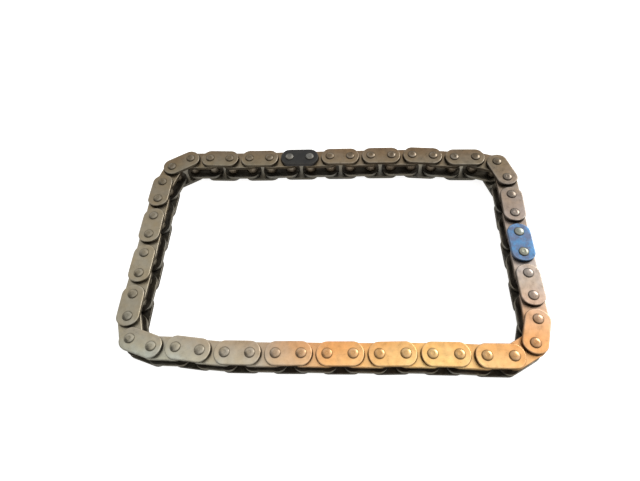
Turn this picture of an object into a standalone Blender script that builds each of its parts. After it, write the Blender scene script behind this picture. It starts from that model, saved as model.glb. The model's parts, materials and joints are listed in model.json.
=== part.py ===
"""Simplex bush timing chain, closed into a loop of fifty links.

The chain lies on its side, as it does on a bench: every pin stands upright and its lower head
touches the ground plane. Outer links (two plates riveted to two pins) and inner links (two
plates pressed on two bushes) take turns round the loop, and each pin runs in the bore of a
bush. One outer link has a dark upper plate and one has a blue upper plate: the timing marks.

Riveting and pressing make one rigid body of a link. Three links are modelled piece by piece,
the two marked ones and the inner link after the blue one, and the others as one solid each.

Units are metres, +Z is up, and the origin lies on the ground plane in the middle of the loop.
"""

import math

import bmesh
import bpy
from mathutils import Vector

# Chain sizes.
PITCH = 0.009525
PLATE_HEIGHT = 0.0092
PLATE_END_GAP = 0.0010
INNER_WIDTH = 0.0055
INNER_PLATE_THICKNESS = 0.00145
OUTER_PLATE_THICKNESS = 0.00145
PIN_DIAMETER = 0.0036
BUSH_WALL = 0.00065

# Riveted pin heads: how far they stand proud, lap over the plate, and narrow to their face.
HEAD_HEIGHT = 0.00065
HEAD_LIP = 0.00015
HEAD_TAPER = 0.00040

# Clearances.
SIDE_CLEARANCE = 0.0002
RUNNING_CLEARANCE = 0.00008
PRESS_GAP = 0.0001

# Facets of the round parts.
ROUND_SIDES = 10
PLATE_END_STEPS = 5
SMOOTH_ANGLE = math.radians(50)

# How far the chain turns clockwise at each pivot of half the loop, in whole degrees. They add
# up to half a turn, and the other half of the loop repeats them, so the loop closes exactly.
HALF_LOOP_BENDS = (
    43, 31, 2, -2, 0, -2, 2, -1, 1, -1, 1, 0, 4, 2, -5,
    17, 53, 18, 2, -1, -1, 1, -1, 2, 15,
)
BENDS = HALF_LOOP_BENDS * 2
LINK_COUNT = len(BENDS)

# Links are counted clockwise from 0, and link n reaches from pivot n to pivot n + 1. Link 1
# points along +X. The others hang from the root link, down both sides of the loop as far as
# the open pivot, where the last two links meet without being tied.
STRAIGHT_LINK = 1
ROOT_LINK = 38
OPEN_PIVOT = 13

# Links made piece by piece: two outer links with a coloured upper plate, and one inner link.
DARK_LINK = 6
BLUE_LINK = 20
OPENED_INNER_LINK = 21

# Levels across the chain, from the ground plane up.
LOWER_OUTER_PLATE = HEAD_HEIGHT
LOWER_INNER_PLATE = LOWER_OUTER_PLATE + OUTER_PLATE_THICKNESS + SIDE_CLEARANCE
UPPER_INNER_PLATE = LOWER_INNER_PLATE + INNER_PLATE_THICKNESS + INNER_WIDTH
UPPER_OUTER_PLATE = UPPER_INNER_PLATE + INNER_PLATE_THICKNESS + SIDE_CLEARANCE
CHAIN_WIDTH = UPPER_OUTER_PLATE + OUTER_PLATE_THICKNESS + HEAD_HEIGHT

# Radii. A faceted bore is narrowest at the middle of its flats, so it is widened until the
# flats clear the corners of the pin that turns in it.
FLAT_RATIO = math.cos(math.pi / ROUND_SIDES)
PIN_RADIUS = PIN_DIAMETER / 2
PIN_HOLE_RADIUS = PIN_RADIUS + PRESS_GAP
HEAD_RADIUS = PIN_HOLE_RADIUS + HEAD_LIP
HEAD_FACE_RADIUS = HEAD_RADIUS - HEAD_TAPER
BORE_RADIUS = (PIN_RADIUS + RUNNING_CLEARANCE) / FLAT_RATIO
BUSH_RADIUS = PIN_RADIUS + RUNNING_CLEARANCE + BUSH_WALL
BUSH_HOLE_RADIUS = BUSH_RADIUS + PRESS_GAP

# Along a link, its pivots lie at these places, and the plate runs on past each one.
LINK_ENDS = (0.0, PITCH)
PLATE_END_REACH = (PITCH - PLATE_END_GAP) / 2


def clear_scene():
    for item in list(bpy.data.objects):
        bpy.data.objects.remove(item, do_unlink=True)


def make_material(name, colour, roughness, metallic):
    material = bpy.data.materials.new(name)
    material.use_nodes = True
    shader = material.node_tree.nodes["Principled BSDF"]
    shader.inputs["Base Color"].default_value = (*colour, 1.0)
    shader.inputs["Roughness"].default_value = roughness
    shader.inputs["Metallic"].default_value = metallic
    return material


def round_ring(bm, x, radius, z):
    """Corners of a pin, bush or hole round the pivot at x, half a facet off the link's axis."""
    ring = []
    for corner in range(ROUND_SIDES):
        angle = 2 * math.pi * (corner + 0.5) / ROUND_SIDES
        ring.append(bm.verts.new((x + radius * math.cos(angle), radius * math.sin(angle), z)))
    return ring


def plate_ring(bm, z):
    """Outline of a plate: two straight edges joined by nearly round ends."""
    ring = []
    for x, start in ((LINK_ENDS[1], -math.pi / 2), (LINK_ENDS[0], math.pi / 2)):
        for step in range(PLATE_END_STEPS + 1):
            angle = start + math.pi * step / PLATE_END_STEPS
            along = x + PLATE_END_REACH * math.cos(angle)
            across = PLATE_HEIGHT / 2 * math.sin(angle)
            ring.append(bm.verts.new((along, across, z)))
    return ring


def ring_edges(bm, ring):
    pairs = [(ring[i - 1], ring[i]) for i in range(len(ring))]
    return [bm.edges.get(pair) or bm.edges.new(pair) for pair in pairs]


def join_rings(bm, first, second):
    for i in range(len(first)):
        bm.faces.new((first[i - 1], first[i], second[i], second[i - 1]))


def fill_plate_face(bm, outline, openings):
    """Flat face between a plate's outline and the rings round its pivots."""
    edges = ring_edges(bm, outline)
    for ring in openings:
        edges += ring_edges(bm, ring)
    bmesh.ops.triangle_fill(bm, edges=edges, use_beauty=True)


def add_plate_body(bm, bottom, thickness, lower_rings, upper_rings):
    """Plate whose two faces meet the given rings, which lie at the levels of the faces."""
    lower = plate_ring(bm, bottom)
    upper = plate_ring(bm, bottom + thickness)
    join_rings(bm, lower, upper)
    fill_plate_face(bm, lower, lower_rings)
    fill_plate_face(bm, upper, upper_rings)


def rings_at(bm, radius, z):
    return [round_ring(bm, x, radius, z) for x in LINK_ENDS]


def add_head(bm, foot, face_level):
    """Tapered rivet head that rises from a ring on the plate to its flat face."""
    middle = sum((vert.co.x for vert in foot)) / len(foot)
    face = round_ring(bm, middle, HEAD_FACE_RADIUS, face_level)
    join_rings(bm, foot, face)
    bm.faces.new(face)


def build_outer_link(bm):
    """Two plates and the two pins riveted into them, as one body."""
    lower_top = LOWER_OUTER_PLATE + OUTER_PLATE_THICKNESS
    upper_top = UPPER_OUTER_PLATE + OUTER_PLATE_THICKNESS
    lower_feet = rings_at(bm, HEAD_RADIUS, LOWER_OUTER_PLATE)
    upper_feet = rings_at(bm, HEAD_RADIUS, upper_top)
    pin_low = rings_at(bm, PIN_RADIUS, lower_top)
    pin_high = rings_at(bm, PIN_RADIUS, UPPER_OUTER_PLATE)
    add_plate_body(bm, LOWER_OUTER_PLATE, OUTER_PLATE_THICKNESS, lower_feet, pin_low)
    add_plate_body(bm, UPPER_OUTER_PLATE, OUTER_PLATE_THICKNESS, pin_high, upper_feet)
    for low, high in zip(pin_low, pin_high):
        join_rings(bm, low, high)
    for foot in lower_feet:
        add_head(bm, foot, 0.0)
    for foot in upper_feet:
        add_head(bm, foot, CHAIN_WIDTH)


def build_inner_link(bm):
    """Two plates and the two bushes pressed into them, as one body with two running bores."""
    lower_top = LOWER_INNER_PLATE + INNER_PLATE_THICKNESS
    upper_top = UPPER_INNER_PLATE + INNER_PLATE_THICKNESS
    bore_low = rings_at(bm, BORE_RADIUS, LOWER_INNER_PLATE)
    bore_high = rings_at(bm, BORE_RADIUS, upper_top)
    bush_low = rings_at(bm, BUSH_RADIUS, lower_top)
    bush_high = rings_at(bm, BUSH_RADIUS, UPPER_INNER_PLATE)
    add_plate_body(bm, LOWER_INNER_PLATE, INNER_PLATE_THICKNESS, bore_low, bush_low)
    add_plate_body(bm, UPPER_INNER_PLATE, INNER_PLATE_THICKNESS, bush_high, bore_high)
    for low, high in zip(bush_low, bush_high):
        join_rings(bm, low, high)
    for low, high in zip(bore_low, bore_high):
        join_rings(bm, low, high)


def build_plate(bottom, thickness, hole_radius):
    """Builder of one plate by itself, with a plain hole at each pivot."""
    def build(bm):
        lower_rings = rings_at(bm, hole_radius, bottom)
        upper_rings = rings_at(bm, hole_radius, bottom + thickness)
        add_plate_body(bm, bottom, thickness, lower_rings, upper_rings)
        for low, high in zip(lower_rings, upper_rings):
            join_rings(bm, low, high)
    return build


def build_pin(x):
    """Builder of one pin by itself, headed at both ends to hold the outer plates."""
    def build(bm):
        lower_seat = HEAD_HEIGHT - PRESS_GAP
        upper_seat = CHAIN_WIDTH - lower_seat
        lower_foot = round_ring(bm, x, HEAD_RADIUS, lower_seat)
        lower_neck = round_ring(bm, x, PIN_RADIUS, lower_seat)
        upper_neck = round_ring(bm, x, PIN_RADIUS, upper_seat)
        upper_foot = round_ring(bm, x, HEAD_RADIUS, upper_seat)
        join_rings(bm, lower_foot, lower_neck)
        join_rings(bm, lower_neck, upper_neck)
        join_rings(bm, upper_neck, upper_foot)
        add_head(bm, lower_foot, 0.0)
        add_head(bm, upper_foot, CHAIN_WIDTH)
    return build


def build_bush(x):
    """Builder of one bush by itself: an open tube that ends flush with the inner plates."""
    def build(bm):
        top = UPPER_INNER_PLATE + INNER_PLATE_THICKNESS
        outer_low = round_ring(bm, x, BUSH_RADIUS, LOWER_INNER_PLATE)
        outer_high = round_ring(bm, x, BUSH_RADIUS, top)
        bore_low = round_ring(bm, x, BORE_RADIUS, LOWER_INNER_PLATE)
        bore_high = round_ring(bm, x, BORE_RADIUS, top)
        join_rings(bm, outer_low, outer_high)
        join_rings(bm, outer_high, bore_high)
        join_rings(bm, bore_high, bore_low)
        join_rings(bm, bore_low, outer_low)
    return build


def make_mesh(name, material, build):
    bm = bmesh.new()
    build(bm)
    bmesh.ops.recalc_face_normals(bm, faces=bm.faces)
    mesh = bpy.data.meshes.new(name)
    bm.to_mesh(mesh)
    bm.free()
    mesh.materials.append(material)
    mesh.shade_smooth()
    mesh.set_sharp_from_angle(angle=SMOOTH_ANGLE)
    return mesh


def link_directions():
    """Direction of each link, in degrees from +X."""
    directions = [0.0] * LINK_COUNT
    for step in range(1, LINK_COUNT):
        link = (STRAIGHT_LINK + step) % LINK_COUNT
        directions[link] = directions[link - 1] - BENDS[link]
    return directions


def pivot_places(directions):
    """Axis of each pivot, with the middle of the loop at the origin."""
    places = [Vector((0.0, 0.0, 0.0))]
    for angle in directions[:-1]:
        run = Vector((math.cos(math.radians(angle)), math.sin(math.radians(angle)), 0.0))
        places.append(places[-1] + PITCH * run)
    middle = sum(places, Vector((0.0, 0.0, 0.0))) / LINK_COUNT
    return [place - middle for place in places]


def hinge_pivot(link):
    """The pivot that joins a link to its neighbour on the side of the root link."""
    after_root = (link - ROOT_LINK) % LINK_COUNT
    last_after_root = (OPEN_PIVOT - 1 - ROOT_LINK) % LINK_COUNT
    return link if after_root <= last_after_root else (link + 1) % LINK_COUNT


def add_hinge(link, directions, places):
    """Empty on the hinge axis of a link, with +X along the link to its other pivot."""
    pivot = hinge_pivot(link)
    turn = directions[link] if pivot == link else directions[link] + 180.0
    hinge = bpy.data.objects.new(f"hinge_of_link_{link + 1:02d}", None)
    hinge.location = places[pivot]
    hinge.rotation_euler = (0.0, 0.0, math.radians(turn))
    hinge.empty_display_size = PITCH / 2
    bpy.context.collection.objects.link(hinge)
    return hinge


def add_piece(name, mesh, hinge):
    piece = bpy.data.objects.new(name, mesh)
    piece.parent = hinge
    bpy.context.collection.objects.link(piece)


def add_marked_link(name, hinge, upper_finish, plate_finish, pin_finish):
    """Outer link in four pieces, whose upper plate has a finish of its own."""
    builders = {
        "upper_plate": (
            upper_finish,
            build_plate(UPPER_OUTER_PLATE, OUTER_PLATE_THICKNESS, PIN_HOLE_RADIUS),
        ),
        "lower_plate": (
            plate_finish,
            build_plate(LOWER_OUTER_PLATE, OUTER_PLATE_THICKNESS, PIN_HOLE_RADIUS),
        ),
        "near_pin": (pin_finish, build_pin(LINK_ENDS[0])),
        "far_pin": (pin_finish, build_pin(LINK_ENDS[1])),
    }
    for piece, (finish, build) in builders.items():
        add_piece(f"{name}_{piece}", make_mesh(f"{name}_{piece}", finish, build), hinge)


def add_opened_inner_link(name, hinge, finish):
    """Inner link in four pieces."""
    builders = {
        "upper_plate": build_plate(UPPER_INNER_PLATE, INNER_PLATE_THICKNESS, BUSH_HOLE_RADIUS),
        "lower_plate": build_plate(LOWER_INNER_PLATE, INNER_PLATE_THICKNESS, BUSH_HOLE_RADIUS),
        "near_bush": build_bush(LINK_ENDS[0]),
        "far_bush": build_bush(LINK_ENDS[1]),
    }
    for piece, build in builders.items():
        add_piece(f"{name}_{piece}", make_mesh(f"{name}_{piece}", finish, build), hinge)


def build_chain():
    plate_steel = make_material("outer_link_steel", (0.30, 0.25, 0.20), 0.38, 0.9)
    inner_steel = make_material("inner_link_steel", (0.24, 0.20, 0.17), 0.42, 0.9)
    pin_steel = make_material("pin_steel", (0.50, 0.47, 0.43), 0.30, 1.0)
    dark_finish = make_material("dark_plate", (0.045, 0.045, 0.045), 0.45, 0.6)
    blue_finish = make_material("blue_plate", (0.14, 0.27, 0.48), 0.35, 0.7)
    outer_link = make_mesh("outer_link", plate_steel, build_outer_link)
    inner_link = make_mesh("inner_link", inner_steel, build_inner_link)

    directions = link_directions()
    places = pivot_places(directions)
    for link in range(LINK_COUNT):
        hinge = add_hinge(link, directions, places)
        number = link // 2 + 1
        if link == DARK_LINK:
            add_marked_link("dark_link", hinge, dark_finish, plate_steel, pin_steel)
        elif link == BLUE_LINK:
            add_marked_link("blue_link", hinge, blue_finish, plate_steel, pin_steel)
        elif link == OPENED_INNER_LINK:
            add_opened_inner_link(f"inner_link_{number:02d}", hinge, inner_steel)
        elif link % 2 == 0:
            add_piece(f"outer_link_{number:02d}", outer_link, hinge)
        else:
            add_piece(f"inner_link_{number:02d}", inner_link, hinge)


clear_scene()
build_chain()
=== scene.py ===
"""Looks of a closed loop of single-row bush timing chain, lying on its side.

Every link is dressed piece by piece: an outer link has two plates and two riveted pins, and an
inner link has two plates and two bushes. The pieces are modelled along +X from the link's first
pivot to its second one and then laid on their link, whose body they ride.

Units are metres, +Z is up, and the frame gives the places, the levels and the outer sizes.
"""

import json
import math
import random

import bmesh
import bpy
import numpy as np
from mathutils import Euler, Matrix, Vector


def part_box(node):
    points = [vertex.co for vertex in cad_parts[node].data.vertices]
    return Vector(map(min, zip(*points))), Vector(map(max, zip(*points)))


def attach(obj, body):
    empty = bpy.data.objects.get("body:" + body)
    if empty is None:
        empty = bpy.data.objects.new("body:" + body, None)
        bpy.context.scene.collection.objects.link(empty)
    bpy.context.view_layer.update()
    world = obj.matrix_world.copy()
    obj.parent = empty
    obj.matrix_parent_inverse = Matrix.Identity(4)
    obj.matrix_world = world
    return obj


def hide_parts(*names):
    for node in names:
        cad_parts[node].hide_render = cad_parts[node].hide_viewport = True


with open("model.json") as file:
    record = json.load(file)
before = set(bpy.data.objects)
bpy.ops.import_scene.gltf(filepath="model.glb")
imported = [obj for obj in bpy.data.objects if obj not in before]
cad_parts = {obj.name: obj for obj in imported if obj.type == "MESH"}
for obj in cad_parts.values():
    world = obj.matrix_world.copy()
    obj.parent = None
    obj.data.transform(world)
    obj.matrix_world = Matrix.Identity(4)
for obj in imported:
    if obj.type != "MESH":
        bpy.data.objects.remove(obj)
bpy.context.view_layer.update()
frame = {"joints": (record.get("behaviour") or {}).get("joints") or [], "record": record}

MM = 0.001

# Links run clockwise, and link n reaches from pivot n to pivot n + 1. The open pivot has no
# joint in the frame: it lies opposite another one, because the loop is the same on both sides.
LINK_COUNT = 50
OPEN_PIVOT = 13
DARK_LINK = 6
BLUE_LINK = 20
STRAIGHT_OUTER_NODE = "outer_link_05"


def levels_of(node):
    low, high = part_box(node)
    return low.z, high.z


def pivot_name(pivot):
    return f"pivot_{pivot % LINK_COUNT + 1:02d}"


def body_name(link):
    return f"link_{link + 1:02d}"


def pivot_places():
    """Axis of each pivot, at the ground."""
    known = {joint["name"]: Vector(joint["pos_m"]).xy for joint in frame["joints"]}
    opposite = known[pivot_name(OPEN_PIVOT + LINK_COUNT // 2)]
    known[pivot_name(OPEN_PIVOT)] = -opposite
    return [known[pivot_name(pivot)].to_3d() for pivot in range(LINK_COUNT)]


PLACES = pivot_places()
PITCH = (PLACES[1] - PLACES[0]).length
UPPER_OUTER = levels_of("dark_link_upper_plate")
LOWER_OUTER = levels_of("dark_link_lower_plate")
UPPER_INNER = levels_of("inner_link_11_upper_plate")
LOWER_INNER = levels_of("inner_link_11_lower_plate")
PIN_ENDS = levels_of("dark_link_near_pin")
CHAIN_MIDDLE = (PIN_ENDS[0] + PIN_ENDS[1]) / 2

# A straight outer link lies along X, so its box gives the outline of a plate.
straight_low, straight_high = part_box(STRAIGHT_OUTER_NODE)
PLATE_REACH = (straight_high.x - straight_low.x - PITCH) / 2
HALF_HEIGHT = (straight_high.y - straight_low.y) / 2

# Radii of the pins, their heads, the bushes and the holes of the plates, and how deep the
# middles of the heads are dimpled.
PIN_RADIUS = 1.80 * MM
PIN_HOLE = 1.84 * MM
HEAD_FOOT = 2.02 * MM
BUSH_RADIUS = 2.53 * MM
BUSH_BORE = 1.90 * MM
BUSH_HOLE = 2.56 * MM
DIMPLE_DEPTHS = (0.0, 0.03 * MM, 0.07 * MM)

# Edges of the stamped plates: rolled over on the side the punch met, burnished on the other.
ROLLED_EDGE = 0.32 * MM
SHARP_EDGE = 0.12 * MM
HOLE_CHAMFER = 0.12 * MM
EDGE_SUPPORT = 0.18 * MM
HOLE_SUPPORT = 0.15 * MM

# Wear and dirt near the edges, with a painted highlight on the worn edges and painted shade in
# the dirt. The margin of a face is rubbed clean, and dirt and painted shade stay round the holes
# and on a bush next to its plates.
RUBBED_AND_LIT_MARGIN = 0.80 * MM
MARGIN_DIRT_AND_SHADE = 0.15
MARGIN_WEAR_AND_SHEEN = 0.10
ROUNDING_DIRT_AND_SHADE = 0.30
LOWER_EDGE_WEAR_AND_SHEEN = 0.80
HOLE_MARGIN = 0.50 * MM
HOLE_RIM_DIRT_AND_SHADE = 0.15
BUSH_DIRT_AND_SHADE_END = 0.25 * MM
BUSH_CLEAN_AND_LIT_FROM = 0.90 * MM

# Fineness of the meshes.
END_STEPS = 20
SIDE_STEPS = 4
ROLL_STEPS = 5
HOLE_SIDES = 32
PIN_SIDES = 40
SMOOTH_ANGLE = math.radians(40)

# Camera, where the photograph was taken from.
CAMERA_PLACE = (0.011158, -0.102166, 0.180957)
CAMERA_TURN = (31.489, 3.688, 2.163)
LENS = 26.677
SENSOR = 36.0
NEAR_CLIP = 0.01

# Floor under the chain.
FLOOR_GREY = 0.60
FLOOR_GLOW = 0.85
FLOOR_ROUGHNESS = 0.9
FLOOR_HALF = 5.0
FLOOR_DROP = 0.02 * MM

# Studio round the chain: directions as seen from it, and the softbox behind it on the right.
UPWARD = (0.0, 0.0, 1.0)
FRONT = (0.0, -1.0, 0.0)
BRIGHT_RIGHT = (0.82, 0.25, 0.52)
DARK_LEFT = (-0.85, -0.30, 0.43)
SKY_COLOUR = (1.0, 0.985, 0.96)
SOFTBOX_PLACE = (0.75, 0.60, 0.62)
SOFTBOX_SIZE = 0.50
SOFTBOX_POWER = 5.0
SOFTBOX_COLOUR = (1.0, 0.97, 0.93)


def srgb(red, green, blue):
    """Linear colour of one given as 0 to 255 on a screen."""
    return tuple(((value / 255 + 0.055) / 1.055) ** 2.4 for value in (red, green, blue))


# Colour of the steel under its film of oil, at these pivots round the loop and blended between.
# The colours hold the film's own tone and also painted light and shade: stretches of the loop
# are made lighter, darker or warmer for the light that falls on them there.
BROWN_FILM = srgb(129, 118, 101)
UMBER = srgb(129, 114, 96)
DARK_BROWN = srgb(110, 100, 86)
WARM_GREY = srgb(132, 122, 117)
ROSE_GREY = srgb(161, 152, 147)
STRAW = srgb(212, 160, 111)
GOLD = srgb(242, 200, 135)
AMBER = srgb(244, 186, 127)
BEIGE = srgb(193, 180, 162)
OLIVE = srgb(192, 191, 177)
OLIVE_GREY = srgb(166, 159, 142)
FILM_AND_LIGHT_ROUND_LOOP = (
    (0, BROWN_FILM), (4, BROWN_FILM), (9, UMBER), (16, DARK_BROWN), (19, WARM_GREY),
    (22.5, ROSE_GREY), (25, STRAW), (29, GOLD), (33, AMBER), (35.7, BEIGE), (40, OLIVE),
    (42.5, OLIVE_GREY), (44.5, OLIVE_GREY), (50, BROWN_FILM),
)

# How much red, green and blue gain toward the front edge of a plate: painted light that makes
# the front side of each upper plate paler.
PAINTED_FRONT_LIGHT = (0.11, 0.19, 0.24)

# Share of the lower outer plates' colour that is left at these pivots round the loop: painted
# shade, deepest from pivot 27 to pivot 38.
PAINTED_SHADE_ROUND_LOOP = ((0, 1.0), (15, 1.0), (22, 0.6), (27, 0.35), (38, 0.35), (44, 0.8), (50, 1.0))

# Steel of the pins in the marked links and of the lower plates, and the share of the film's
# colour that the other pins and the bushes take. That share darkens them as painted shade.
BRIGHT_PIN = srgb(124, 131, 126)
GREY_PIN = srgb(106, 106, 104)
LOWER_STEEL = srgb(144, 142, 134)
PIN_PAINTED_SHADE = 0.70
BUSH_PAINTED_SHADE = 0.80

# Tint of steel seen edge-on, of warm patches in the film and of edges that are rubbed bright,
# whose brightness is also a painted highlight.
EDGE_TINT = (0.60, 0.58, 0.55, 1.0)
FILM_WARMTH = (1.0, 0.93, 0.82)
POLISHED_STEEL_AND_SHEEN = (0.95, 0.90, 0.80)
POLISH_AND_SHEEN_SHARE = 0.18

# Finish of the two marked plates, with its worn patches and its rubbed edges, which also carry
# a painted highlight.
DARK_COAT = srgb(37, 37, 38)
DARK_PATCH = srgb(48, 47, 45)
DARK_EDGE = srgb(76, 74, 69)
BLUE_COAT = srgb(80, 124, 166)
BLUE_PATCH = srgb(88, 100, 126)
BLUE_EDGE = srgb(128, 154, 186)

# Colour of grime, of the painted shade in corners, recesses and under plates, and of pits.
GRIME_AND_SHADE_COLOUR = srgb(30, 23, 17)

# Grain of the materials, per millimetre. Rolling marks and smears are drawn out along the link,
# and each piece starts at a place of its own in the grain, up to GRAIN_SPREAD millimetres away.
STAIN_SCALE = 0.45
SMEAR_SCALE = 0.6
SMEAR_STRETCH = (0.25, 0.9, 0.9)
MARK_SCALE = 1.2
MARK_STRETCH = (0.35, 5.0, 5.0)
PIT_SCALE = 5.0
DRIFT_SCALE = 0.16
PATCH_SCALE = 0.30
GRAIN_SPREAD = 400
GRAIN_SEED = 100

# How far stains, rolling marks and pits change the colour, the roughness and the relief.
STAIN_SHADES = (0.86, 1.12)
MARK_SHADES = (0.92, 1.06)
PIT_SHADE = 0.45
STAIN_POLISH = -0.07
STAIN_DULL = 0.09
MARK_ROUGHNESS = 0.05
DIRT_AND_SHADE_ROUGHNESS = 0.30
PIT_RELIEF = 0.5
BUMP_STRENGTH = 0.35
BUMP_DEPTH = 0.012 * MM

# Share of the wear mask, with its painted highlight, and of the grime mask, with its painted
# shade, that shows.
STEEL_WEAR_AND_SHEEN = 0.75
COAT_WEAR_AND_SHEEN = 0.60
COAT_GRIME_AND_SHADE = 0.70
SMEARED_GRIME_AND_SHADE = (0.70, 1.0)

# Dirt that the ends of the outer plates push up, together with a painted shadow round these
# ends, is full this many millimetres past their reach, and has ended at this many.
SWEPT_FULL = 0.12
SWEPT_END = 0.50


def film_and_light_colour(along):
    """Colour of the film, with its painted light and shade, at a place round the loop, counted
    in pivots.
    """
    spots = [spot for spot, _ in FILM_AND_LIGHT_ROUND_LOOP]
    colours = np.array([colour for _, colour in FILM_AND_LIGHT_ROUND_LOOP])
    around = np.mod(along, LINK_COUNT)
    return np.stack([np.interp(around, spots, colours[:, band]) for band in range(3)], axis=1)


def upper_film_with_painted_front_light(along, frontward):
    """Colour of an upper plate, with painted light that makes it paler on the side that lies to
    the front.
    """
    return film_and_light_colour(along) * (1.0 + np.outer(frontward, PAINTED_FRONT_LIGHT))


def lower_painted_shade(along, _):
    """Colour of a lower outer plate, darkened with painted shade."""
    spots, shares = zip(*PAINTED_SHADE_ROUND_LOOP)
    left = np.interp(np.mod(along, LINK_COUNT), spots, shares)
    return left[:, None] * np.array(LOWER_STEEL)


# Film colour darkened by a share, as painted shade on the pins and bushes.
def film_with_painted_shade(share):
    return lambda along, _: film_and_light_colour(along) * share


def plain(colour):
    return lambda along, _: np.tile(np.array(colour), (len(along), 1))


def new_mesh():
    """Empty mesh with the masks of wear, which carries a painted highlight, and of grime, which
    carries painted shade.
    """
    bm = bmesh.new()
    wear_and_sheen = bm.verts.layers.float.new("wear_and_sheen")
    grime_and_shade = bm.verts.layers.float.new("grime_and_shade")
    return bm, wear_and_sheen, grime_and_shade


def add_ring(bm, points, z, wear_and_sheen, grime_and_shade):
    """Ring of corners at one level. wear and grime, the masks that carry a painted highlight and
    painted shade, are (layer, value).
    """
    ring = []
    for x, y in points:
        corner = bm.verts.new((x, y, z))
        corner[wear_and_sheen[0]] = wear_and_sheen[1]
        corner[grime_and_shade[0]] = grime_and_shade[1]
        ring.append(corner)
    return ring


def join_rings(bm, first, second):
    for i in range(len(first)):
        bm.faces.new((first[i - 1], first[i], second[i], second[i - 1]))


def ring_edges(bm, ring):
    pairs = [(ring[i - 1], ring[i]) for i in range(len(ring))]
    return [bm.edges.get(pair) or bm.edges.new(pair) for pair in pairs]


def plate_outline(inset):
    """Outline of a plate, moved in by inset: nearly round ends and straight edges."""
    points = []
    for x, start in ((PITCH, -math.pi / 2), (0.0, math.pi / 2)):
        for step in range(END_STEPS + 1):
            angle = start + math.pi * step / END_STEPS
            across = (HALF_HEIGHT - inset) * math.sin(angle)
            points.append((x + (PLATE_REACH - inset) * math.cos(angle), across))
        side_start, side_y = points[-1]
        side_end = PITCH - x
        for step in range(1, SIDE_STEPS):
            points.append((side_start + step / SIDE_STEPS * (side_end - side_start), side_y))
    return points


def round_outline(x, radius, sides=HOLE_SIDES):
    turn = 2 * math.pi / sides
    return [(x + radius * math.cos(turn * i), radius * math.sin(turn * i)) for i in range(sides)]


def rounded_edge(radius):
    """(inset, depth) of a rounded edge, from the face to the side wall."""
    angles = [math.pi / 2 * step / ROLL_STEPS for step in range(ROLL_STEPS + 1)]
    return [(radius * (1 - math.sin(angle)), radius * (1 - math.cos(angle))) for angle in angles]


def edge_profile(levels, rounds, dirty_and_shaded):
    """(inset, level, wear, grime) of a plate's edge, from its upper face to its lower one. The
    margin of the face is rubbed clean, the rounding next to it worn bright with a painted
    highlight, and the side wall holds old dirt and painted shade."""
    bottom, top = levels
    top_round, bottom_round = rounds
    top_dirt_and_shade, wall_dirt_and_shade, bottom_dirt_and_shade = dirty_and_shaded
    profile = [
        (top_round + RUBBED_AND_LIT_MARGIN, top, 0.0, top_dirt_and_shade),
        (top_round + EDGE_SUPPORT, top, MARGIN_WEAR_AND_SHEEN, MARGIN_DIRT_AND_SHADE * top_dirt_and_shade),
    ]
    for step, (inset, depth) in enumerate(rounded_edge(top_round)):
        share = step / ROLL_STEPS
        dirt_and_shade = max(ROUNDING_DIRT_AND_SHADE * top_dirt_and_shade, wall_dirt_and_shade * share**2)
        profile.append((inset, top - depth, 1.0 - share**2, dirt_and_shade))
    wall_middle = 0.5 * (top - top_round + bottom + bottom_round)
    profile.append((0.0, wall_middle, 0.0, wall_dirt_and_shade))
    for step, (inset, depth) in enumerate(rounded_edge(bottom_round)[::-1]):
        share = 1.0 - step / ROLL_STEPS
        dirt_and_shade = max(ROUNDING_DIRT_AND_SHADE, wall_dirt_and_shade * share)
        profile.append((inset, bottom + depth, LOWER_EDGE_WEAR_AND_SHEEN * (1.0 - share), dirt_and_shade))
    profile += [
        (bottom_round + EDGE_SUPPORT, bottom, MARGIN_WEAR_AND_SHEEN, MARGIN_DIRT_AND_SHADE * bottom_dirt_and_shade),
        (bottom_round + RUBBED_AND_LIT_MARGIN, bottom, 0.0, bottom_dirt_and_shade),
    ]
    return profile


def hole_profile(levels, radius, dirty_and_shaded):
    """(radius, level, wear, grime) of a hole, from the upper face to the lower one. Its walls
    are darkened with dirt and painted shade.
    """
    bottom, top = levels
    top_dirt_and_shade, _, bottom_dirt_and_shade = dirty_and_shaded
    rim = radius + HOLE_CHAMFER
    return [
        (rim + HOLE_MARGIN, top, 0.0, top_dirt_and_shade),
        (rim + HOLE_SUPPORT, top, 0.0, max(HOLE_RIM_DIRT_AND_SHADE, top_dirt_and_shade)),
        (rim, top, 0.2, 0.6),
        (radius, top - HOLE_CHAMFER, 0.0, 1.0),
        (radius, bottom + HOLE_CHAMFER, 0.0, 1.0),
        (rim, bottom, 0.2, 0.6),
        (rim + HOLE_SUPPORT, bottom, 0.0, max(HOLE_RIM_DIRT_AND_SHADE, bottom_dirt_and_shade)),
        (rim + HOLE_MARGIN, bottom, 0.0, bottom_dirt_and_shade),
    ]


def finish_mesh(bm, name):
    bmesh.ops.recalc_face_normals(bm, faces=bm.faces)
    mesh = bpy.data.meshes.new(name)
    bm.to_mesh(mesh)
    bm.free()
    mesh.shade_smooth()
    mesh.set_sharp_from_angle(angle=SMOOTH_ANGLE)
    return mesh


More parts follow.
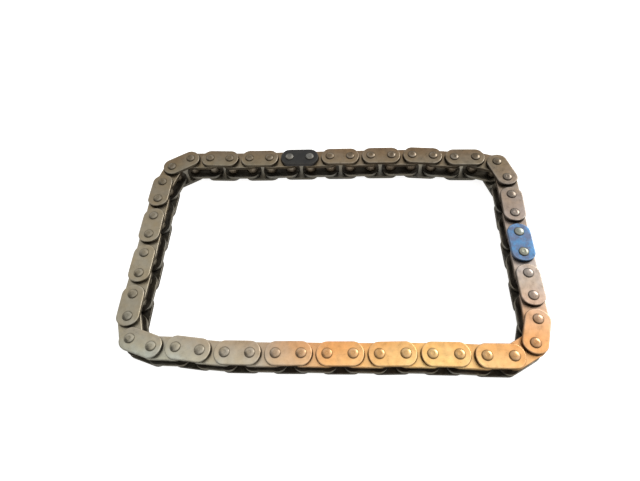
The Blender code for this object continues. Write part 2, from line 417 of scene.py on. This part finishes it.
def plate_mesh(name, levels, hole_radius, rounds, dirty_and_shaded):
    """Stamped plate with two holes. rounds are of its upper and its lower edge, and dirty gives
    the dirt and painted shade of its upper face, its side wall and its lower face."""
    bm, wear_and_sheen, grime_and_shade = new_mesh()
    edge = [
        add_ring(bm, plate_outline(inset), z, (wear_and_sheen, wear_and_sheen_level), (grime_and_shade, dirt_and_shade))
        for inset, z, wear_and_sheen_level, dirt_and_shade in edge_profile(levels, rounds, dirty_and_shaded)
    ]
    holes = []
    for x in (0.0, PITCH):
        holes.append([
            add_ring(bm, round_outline(x, radius), z, (wear_and_sheen, wear_and_sheen_level), (grime_and_shade, dirt_and_shade))
            for radius, z, wear_and_sheen_level, dirt_and_shade in hole_profile(levels, hole_radius, dirty_and_shaded)
        ])
    for rings in (edge, *holes):
        for first, second in zip(rings, rings[1:]):
            join_rings(bm, first, second)
    for end in (0, -1):
        edges = ring_edges(bm, edge[end])
        for rings in holes:
            edges += ring_edges(bm, rings[end])
        bmesh.ops.triangle_fill(bm, edges=edges, use_beauty=True)
    return finish_mesh(bm, name)


def turned_mesh(name, profile, closed_ring=False):
    """Turned piece from a profile of (radius, level, wear, grime), the wear carrying a painted
    highlight and the grime painted shade. It ends in a point at each end of the profile where
    the radius is 0, or joins its last ring to its first."""
    bm, wear_and_sheen, grime_and_shade = new_mesh()
    rings = []
    for radius, z, wear_and_sheen_level, dirt_and_shade in profile:
        points = round_outline(0.0, radius, PIN_SIDES) if radius else [(0.0, 0.0)]
        rings.append(add_ring(bm, points, z, (wear_and_sheen, wear_and_sheen_level), (grime_and_shade, dirt_and_shade)))
    pairs = list(zip(rings, rings[1:]))
    if closed_ring:
        pairs.append((rings[-1], rings[0]))
    for first, second in pairs:
        if len(first) == 1 or len(second) == 1:
            tip, ring = (first[0], second) if len(first) == 1 else (second[0], first)
            for i in range(len(ring)):
                bm.faces.new((ring[i - 1], ring[i], tip))
        else:
            join_rings(bm, first, second)
    return finish_mesh(bm, name)


def head_profile(dimple):
    """(radius, height above the plate, wear, grime) of a riveted head, from foot to middle. The
    foot is darkened with dirt and painted shade, the shoulder is rubbed bright with a painted
    highlight, and the middle may be dimpled."""
    return [
        (PIN_RADIUS, -0.60 * MM, 0.0, 1.0),
        (PIN_RADIUS, -0.12 * MM, 0.0, 1.0),
        (HEAD_FOOT - 0.04 * MM, 0.0, 0.0, 1.0),
        (HEAD_FOOT, 0.04 * MM, 0.0, 0.9),
        (HEAD_FOOT - 0.01 * MM, 0.12 * MM, 0.0, 0.85),
        (HEAD_FOOT - 0.06 * MM, 0.22 * MM, 0.0, 0.75),
        (1.84 * MM, 0.31 * MM, 0.3, 0.5),
        (1.67 * MM, 0.39 * MM, 0.7, 0.1),
        (1.45 * MM, 0.47 * MM, 1.0, 0.0),
        (1.20 * MM, 0.54 * MM, 0.8, 0.0),
        (0.92 * MM, 0.595 * MM, 0.5, 0.0),
        (0.74 * MM, 0.625 * MM - 0.2 * dimple, 0.2, 0.0),
        (0.58 * MM, 0.640 * MM - dimple, 0.1, 0.15),
        (0.30 * MM, 0.648 * MM - dimple, 0.3, 0.05),
        (0.0, 0.650 * MM - dimple, 0.4, 0.0),
    ]


def pin_mesh(name, dimple):
    """Pin with a riveted head at both ends, upright on its axis."""
    head = head_profile(dimple)
    upper = [(radius, UPPER_OUTER[1] + z, wear_and_sheen_level, dirt_and_shade) for radius, z, wear_and_sheen_level, dirt_and_shade in head]
    lower = [(radius, LOWER_OUTER[0] - z, wear_and_sheen_level, dirt_and_shade) for radius, z, wear_and_sheen_level, dirt_and_shade in head]
    shank = [(PIN_RADIUS, CHAIN_MIDDLE, 0.1, 0.5)]
    return turned_mesh(name, lower[::-1] + shank + upper)


def bush_mesh(name):
    """Bush, flush with the outer faces of its inner plates. It is worn bright in the middle,
    where sprocket teeth bear, with a painted highlight there, and darkened next to the plates
    with dirt and painted shade."""
    bottom, top = LOWER_INNER[0], UPPER_INNER[1]
    low, high = LOWER_INNER[1], UPPER_INNER[0]
    chamfer = HOLE_CHAMFER
    profile = [
        (BUSH_BORE, bottom + chamfer, 0.0, 1.0),
        (BUSH_BORE + chamfer, bottom, 0.4, 0.6),
        (BUSH_RADIUS - chamfer, bottom, 0.4, 0.6),
        (BUSH_RADIUS, bottom + chamfer, 0.3, 0.8),
        (BUSH_RADIUS, low + BUSH_DIRT_AND_SHADE_END, 0.0, 1.0),
        (BUSH_RADIUS, low + BUSH_CLEAN_AND_LIT_FROM, 0.3, 0.3),
        (BUSH_RADIUS, CHAIN_MIDDLE, 0.8, 0.0),
        (BUSH_RADIUS, high - BUSH_CLEAN_AND_LIT_FROM, 0.3, 0.3),
        (BUSH_RADIUS, high - BUSH_DIRT_AND_SHADE_END, 0.0, 1.0),
        (BUSH_RADIUS, top - chamfer, 0.3, 0.8),
        (BUSH_RADIUS - chamfer, top, 0.4, 0.6),
        (BUSH_BORE + chamfer, top, 0.4, 0.6),
        (BUSH_BORE, top - chamfer, 0.0, 1.0),
        (BUSH_BORE, CHAIN_MIDDLE, 0.0, 1.0),
    ]
    return turned_mesh(name, profile, closed_ring=True)


def add_node(tree, kind, inputs, **settings):
    """Shader node with its inputs, each a value or the socket that feeds it."""
    node = tree.nodes.new(kind)
    for name, value in settings.items():
        setattr(node, name, value)
    for socket, value in inputs.items():
        if isinstance(value, bpy.types.NodeSocket):
            tree.links.new(value, node.inputs[socket])
        else:
            node.inputs[socket].default_value = value
    return node


def attribute(tree, name, output):
    return add_node(tree, "ShaderNodeAttribute", {}, attribute_name=name).outputs[output]


def noise(tree, place, scale, detail, roughness=0.55):
    inputs = {"Vector": place, "Scale": scale, "Detail": detail, "Roughness": roughness}
    return add_node(tree, "ShaderNodeTexNoise", inputs).outputs["Fac"]


def stretched(tree, place, scale):
    return add_node(tree, "ShaderNodeMapping", {"Vector": place, "Scale": scale}).outputs[0]


def ranged(tree, value, low, high, to_low=0.0, to_high=1.0):
    inputs = {
        "Value": value, "From Min": low, "From Max": high, "To Min": to_low, "To Max": to_high,
    }
    return add_node(tree, "ShaderNodeMapRange", inputs).outputs["Result"]


def calculated(tree, operation, first, second):
    node = add_node(tree, "ShaderNodeMath", {0: first, 1: second}, operation=operation)
    return node.outputs[0]


def vector_result(tree, operation, inputs, output="Vector"):
    node = add_node(tree, "ShaderNodeVectorMath", inputs, operation=operation)
    return node.outputs[output]


def mixed(tree, share, first, second, blend="MIX"):
    """Colour mix. A plain colour is given as three numbers."""
    colours = [(*c, 1.0) if isinstance(c, tuple) else c for c in (first, second)]
    inputs = {0: share, 6: colours[0], 7: colours[1]}
    node = add_node(tree, "ShaderNodeMix", inputs, data_type="RGBA", blend_type=blend)
    return node.outputs[2]


def scaled_colour(tree, colour, factor):
    return vector_result(tree, "SCALE", {0: colour, "Scale": factor})


def swept_dirt_and_shadow(tree):
    """Dirt that the ends of the neighbouring outer plates push up on an inner plate's face, and
    the painted shadow round these ends.
    """
    on_link = stretched(tree, attribute(tree, "on_link", "Vector"), (1.0, 1.0, 0.0))
    distances = []
    for pivot_x in (0.0, PITCH / MM):
        away = vector_result(tree, "SUBTRACT", {0: on_link, 1: (pivot_x, 0.0, 0.0)})
        distances.append(vector_result(tree, "LENGTH", {0: away}, "Value"))
    nearest = calculated(tree, "MINIMUM", *distances)
    reach = PLATE_REACH / MM
    return ranged(tree, nearest, reach + SWEPT_FULL, reach + SWEPT_END, 1.0, 0.0)


def surface(tree, shader, place, colour, roughness, worn_and_sheen_colour, wear_and_sheen_share, grime_and_shade, grime_and_shade_share):
    """Wear with a painted highlight on the edges, grime with painted shade in the corners,
    stains, rolling marks and small pits.
    """
    stains = noise(tree, place, STAIN_SCALE, detail=4.0)
    smears = noise(tree, stretched(tree, place, SMEAR_STRETCH), SMEAR_SCALE, detail=3.0)
    along_link = stretched(tree, place, MARK_STRETCH)
    marks = noise(tree, along_link, MARK_SCALE, detail=4.0, roughness=0.7)
    pits = noise(tree, place, PIT_SCALE, detail=2.0)

    stained = scaled_colour(tree, colour, ranged(tree, stains, 0.3, 0.7, *STAIN_SHADES))
    marked = scaled_colour(tree, stained, ranged(tree, marks, 0.25, 0.75, *MARK_SHADES))
    pitted = mixed(tree, ranged(tree, pits, 0.66, 0.74, 0.0, PIT_SHADE), marked, GRIME_AND_SHADE_COLOUR)

    patchy = ranged(tree, stains, 0.3, 0.62)
    wear_and_sheen = calculated(tree, "MULTIPLY", attribute(tree, "wear_and_sheen", "Fac"), patchy)
    bright = mixed(tree, calculated(tree, "MULTIPLY", wear_and_sheen, wear_and_sheen_share), pitted, worn_and_sheen_colour)
    smeared = ranged(tree, smears, 0.25, 0.65, *SMEARED_GRIME_AND_SHADE)
    dirty_and_shaded = calculated(tree, "MULTIPLY", smeared, grime_and_shade)
    dirt_and_shade = calculated(tree, "MULTIPLY", dirty_and_shaded, grime_and_shade_share)
    tree.links.new(mixed(tree, dirt_and_shade, bright, GRIME_AND_SHADE_COLOUR), shader.inputs["Base Color"])

    polish = ranged(tree, stains, 0.3, 0.7, roughness + STAIN_POLISH, roughness + STAIN_DULL)
    dulled = calculated(tree, "ADD", polish, calculated(tree, "MULTIPLY", dirt_and_shade, DIRT_AND_SHADE_ROUGHNESS))
    lines = ranged(tree, marks, 0.3, 0.7, -MARK_ROUGHNESS, MARK_ROUGHNESS)
    tree.links.new(calculated(tree, "ADD", dulled, lines), shader.inputs["Roughness"])

    relief = calculated(tree, "ADD", marks, calculated(tree, "MULTIPLY", pits, PIT_RELIEF))
    bump = {"Height": relief, "Strength": BUMP_STRENGTH, "Distance": BUMP_DEPTH}
    normal = add_node(tree, "ShaderNodeBump", bump).outputs["Normal"]
    tree.links.new(normal, shader.inputs["Normal"])


def new_material(name, metallic):
    material = bpy.data.materials.new(name)
    material.use_nodes = True
    tree = material.node_tree
    shader = tree.nodes["Principled BSDF"]
    shader.inputs["Metallic"].default_value = metallic
    return material, tree, shader


def steel_material(name, roughness, grime_and_shade_share, swept=False):
    """Bare steel under a film of oil, whose colour, with its painted light and shade, each piece
    carries. A swept face also has the dirt that its neighbours push up and the painted shadow
    round their ends."""
    material, tree, shader = new_material(name, 1.0)
    shader.inputs["Specular Tint"].default_value = EDGE_TINT
    place = attribute(tree, "grain", "Vector")
    film_and_light = attribute(tree, "film_and_light", "Color")
    drift = ranged(tree, noise(tree, place, DRIFT_SCALE, detail=2.0), 0.35, 0.65)
    warmed = mixed(tree, 1.0, film_and_light, FILM_WARMTH, "MULTIPLY")
    colour = mixed(tree, drift, film_and_light, warmed)
    polished_and_sheen = mixed(tree, POLISH_AND_SHEEN_SHARE, colour, POLISHED_STEEL_AND_SHEEN)
    grime_and_shade = attribute(tree, "grime_and_shade", "Fac")
    if swept:
        grime_and_shade = calculated(tree, "MAXIMUM", grime_and_shade, swept_dirt_and_shadow(tree))
    surface(tree, shader, place, colour, roughness, polished_and_sheen, STEEL_WEAR_AND_SHEEN, grime_and_shade, grime_and_shade_share)
    return material


def coated_material(name, coat, patch, patch_range, edge, metallic, roughness):
    """Thin colour on steel, worn to another shade in patches and rubbed off the edges, where a
    painted highlight also lies.
    """
    material, tree, shader = new_material(name, metallic)
    place = attribute(tree, "grain", "Vector")
    patches = noise(tree, place, PATCH_SCALE, detail=4.0, roughness=0.65)
    colour = mixed(tree, ranged(tree, patches, *patch_range), coat, patch)
    grime_and_shade = attribute(tree, "grime_and_shade", "Fac")
    surface(tree, shader, place, colour, roughness, edge, COAT_WEAR_AND_SHEEN, grime_and_shade, COAT_GRIME_AND_SHADE)
    return material


def make_materials():
    return {
        "outer_plate": steel_material("outer_plate_steel", roughness=0.34, grime_and_shade_share=0.92),
        "inner_plate": steel_material(
            "inner_plate_steel", roughness=0.38, grime_and_shade_share=0.92, swept=True
        ),
        "pin": steel_material("pin_steel", roughness=0.28, grime_and_shade_share=0.95),
        "bush": steel_material("bush_steel", roughness=0.48, grime_and_shade_share=0.90),
        "dark_plate": coated_material(
            "dark_plate_finish", DARK_COAT, DARK_PATCH, patch_range=(0.35, 0.70),
            edge=DARK_EDGE, metallic=0.55, roughness=0.42,
        ),
        "blue_plate": coated_material(
            "blue_plate_finish", BLUE_COAT, BLUE_PATCH, patch_range=(0.39, 0.58),
            edge=BLUE_EDGE, metallic=0.80, roughness=0.34,
        ),
    }


def link_turn(link):
    run = PLACES[(link + 1) % LINK_COUNT] - PLACES[link]
    return math.atan2(run.y, run.x)


def link_matrix(link):
    """Place of a link, with +X from its first pivot to its second one."""
    return Matrix.Translation(PLACES[link]) @ Matrix.Rotation(link_turn(link), 4, "Z")


def write_vectors(mesh, name, kind, field, values):
    layer = mesh.attributes.new(name, kind, "POINT")
    layer.data.foreach_set(field, np.asarray(values, dtype=np.float32).ravel())


def dress_mesh(base, name, link, offset_x, colour_of, draw):
    """Copy of a mesh with the film colour of its own place in the chain, painted light and shade
    included, a grain of its own and its corners' places in millimetres."""
    mesh = base.copy()
    mesh.name = name
    places = np.empty(len(mesh.vertices) * 3, dtype=np.float32)
    mesh.vertices.foreach_get("co", places)
    places = places.reshape(-1, 3)
    along = link + (places[:, 0] + offset_x) / PITCH
    frontward = -math.cos(link_turn(link)) * places[:, 1] / HALF_HEIGHT
    colours = np.ones((len(places), 4))
    colours[:, :3] = colour_of(along, frontward)
    write_vectors(mesh, "film_and_light", "FLOAT_COLOR", "color", colours)
    start = np.array([draw.uniform(0, GRAIN_SPREAD) for _ in range(3)])
    write_vectors(mesh, "grain", "FLOAT_VECTOR", "vector", places / MM + start)
    write_vectors(mesh, "on_link", "FLOAT_VECTOR", "vector", places / MM)
    return mesh


def own_nodes(link):
    """The node or nodes of a link that its pieces stand for."""
    return frame["record"]["behaviour"]["bodies"][body_name(link)]


def hinged_at_first(link):
    """True if a link hangs on its first pivot, as the root link is taken to do."""
    for joint in frame["joints"]:
        if joint["child"] == body_name(link):
            return joint["name"] == pivot_name(link)
    return True


def add_piece(part, base, link, offset_x, material, colour_of, draw, materials):
    name = f"{body_name(link)}_{part}"
    mesh = dress_mesh(base, name, link, offset_x, colour_of, draw)
    mesh.materials.clear()
    mesh.materials.append(materials[material])
    piece = bpy.data.objects.new(name, mesh)
    bpy.context.collection.objects.link(piece)
    piece.matrix_world = link_matrix(link) @ Matrix.Translation((offset_x, 0.0, 0.0))
    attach(piece, body_name(link))
    return piece


def dress_link(link, meshes, materials):
    """All pieces of one link, standing for the node or nodes of the link."""
    draw = random.Random(GRAIN_SEED + link)
    if link % 2 == 0:
        kind, round_part = "outer", "pin"
        # The lower outer plates get painted shade round the loop.
        lower_colour = lower_painted_shade
        round_colour = film_with_painted_shade(PIN_PAINTED_SHADE)
    else:
        kind, round_part = "inner", "bush"
        lower_colour = plain(LOWER_STEEL)
        round_colour = film_with_painted_shade(BUSH_PAINTED_SHADE)
    lower_material = f"{kind}_plate"
    upper_material = lower_material
    if link == DARK_LINK:
        upper_material = "dark_plate"
        round_colour = plain(GREY_PIN)
    elif link == BLUE_LINK:
        upper_material = "blue_plate"
        round_colour = plain(BRIGHT_PIN)

    pieces = {
        "upper_plate": add_piece(
            "upper_plate", meshes[f"upper_{kind}"], link, 0.0, upper_material,
            upper_film_with_painted_front_light, draw, materials,
        ),
        "lower_plate": add_piece(
            "lower_plate", meshes[f"lower_{kind}"], link, 0.0, lower_material,
            lower_colour, draw, materials,
        ),
    }
    for end, offset_x in (("first", 0.0), ("second", PITCH)):
        mesh = draw.choice(meshes[round_part])
        piece = add_piece(
            f"{end}_{round_part}", mesh, link, offset_x, round_part, round_colour, draw,
            materials,
        )
        near = (end == "first") == hinged_at_first(link)
        pieces[f"{'near' if near else 'far'}_{round_part}"] = piece

    nodes = own_nodes(link)
    if len(nodes) == 1:
        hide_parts(nodes[0])
    else:
        for part, piece in pieces.items():
            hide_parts(next(node for node in nodes if node.endswith(part)))


def build_chain():
    rolled_above = (ROLLED_EDGE, SHARP_EDGE)
    rolled_below = (SHARP_EDGE, ROLLED_EDGE)
    # dirty gives the dirt and painted shade of each plate's upper face, side wall and lower
    # face.
    meshes = {
        "upper_outer": plate_mesh(
            "upper_outer_plate", UPPER_OUTER, PIN_HOLE, rolled_above, dirty_and_shaded=(0.0, 1.0, 1.0)
        ),
        "lower_outer": plate_mesh(
            "lower_outer_plate", LOWER_OUTER, PIN_HOLE, rolled_below, dirty_and_shaded=(0.3, 0.85, 0.2)
        ),
        "upper_inner": plate_mesh(
            "upper_inner_plate", UPPER_INNER, BUSH_HOLE, rolled_above, dirty_and_shaded=(0.0, 1.0, 1.0)
        ),
        "lower_inner": plate_mesh(
            "lower_inner_plate", LOWER_INNER, BUSH_HOLE, rolled_below, dirty_and_shaded=(1.0, 0.6, 0.3)
        ),
        "pin": [pin_mesh(f"pin_{n}", depth) for n, depth in enumerate(DIMPLE_DEPTHS)],
        "bush": [bush_mesh("bush")],
    }
    materials = make_materials()
    for link in range(LINK_COUNT):
        dress_link(link, meshes, materials)


def add_floor():
    """Plain white floor just under the lower pin heads."""
    material, _, shader = new_material("floor_white", 0.0)
    shader.inputs["Base Color"].default_value = (FLOOR_GREY, FLOOR_GREY, FLOOR_GREY, 1.0)
    shader.inputs["Roughness"].default_value = FLOOR_ROUGHNESS
    shader.inputs["Specular IOR Level"].default_value = 0.0
    shader.inputs["Emission Color"].default_value = (1.0, 1.0, 1.0, 1.0)
    shader.inputs["Emission Strength"].default_value = FLOOR_GLOW
    mesh = bpy.data.meshes.new("floor")
    corners = [
        (x * FLOOR_HALF, y * FLOOR_HALF, 0.0) for x, y in ((-1, -1), (1, -1), (1, 1), (-1, 1))
    ]
    mesh.from_pydata(corners, [], [(0, 1, 2, 3)])
    mesh.materials.append(material)
    floor = bpy.data.objects.new("floor", mesh)
    floor.location.z = -FLOOR_DROP
    bpy.context.collection.objects.link(floor)


def add_softbox():
    """Round softbox that faces the chain."""
    light = bpy.data.lights.new("key_softbox", "AREA")
    light.shape = "DISK"
    light.size = SOFTBOX_SIZE
    light.energy = SOFTBOX_POWER
    light.color = SOFTBOX_COLOUR
    softbox = bpy.data.objects.new("key_softbox", light)
    softbox.location = SOFTBOX_PLACE
    softbox.rotation_euler = (-Vector(SOFTBOX_PLACE)).to_track_quat("-Z", "Y").to_euler()
    bpy.context.collection.objects.link(softbox)


def add_studio():
    """Pale studio: bright overhead, behind and most of all on the right, and dark in front and
    on the left, above a pale wall."""
    world = bpy.data.worlds.new("studio")
    bpy.context.scene.world = world
    world.use_nodes = True
    tree = world.node_tree
    direction = add_node(tree, "ShaderNodeTexCoord", {}).outputs["Generated"]

    def towards(goal, low, high, away=0.0, near=1.0):
        """Level that goes from away to near as a direction turns to a goal, between the cosines
        low and high of the angle that is left."""
        aim = tuple(Vector(goal).normalized())
        cosine = vector_result(tree, "DOT_PRODUCT", {0: direction, 1: aim}, "Value")
        return ranged(tree, cosine, low, high, away, near)

    right = towards(BRIGHT_RIGHT, 0.65, 0.95, away=1.0, near=1.6)
    horizon = towards(UPWARD, 0.05, 0.45, away=0.80)
    above_wall = towards(UPWARD, 0.28, 0.48)
    front = towards(FRONT, 0.25, 0.60, near=0.75)
    left = towards(DARK_LEFT, 0.57, 0.90, near=0.85)
    dark = calculated(tree, "MULTIPLY", calculated(tree, "MAXIMUM", front, left), above_wall)
    lit = calculated(tree, "MULTIPLY", right, horizon)
    level = calculated(tree, "MULTIPLY", lit, calculated(tree, "SUBTRACT", 1.0, dark))
    background = tree.nodes["Background"]
    tree.links.new(scaled_colour(tree, SKY_COLOUR, level), background.inputs["Color"])
    background.inputs["Strength"].default_value = 1.0
    add_softbox()


def add_camera():
    data = bpy.data.cameras.new("camera")
    data.lens = LENS
    data.sensor_width = SENSOR
    data.clip_start = NEAR_CLIP
    camera = bpy.data.objects.new("camera", data)
    camera.location = CAMERA_PLACE
    camera.rotation_euler = Euler([math.radians(angle) for angle in CAMERA_TURN])
    bpy.context.collection.objects.link(camera)
    bpy.context.scene.camera = camera


bpy.context.scene.view_settings.view_transform = "Standard"
add_camera()
add_studio()
add_floor()
build_chain()
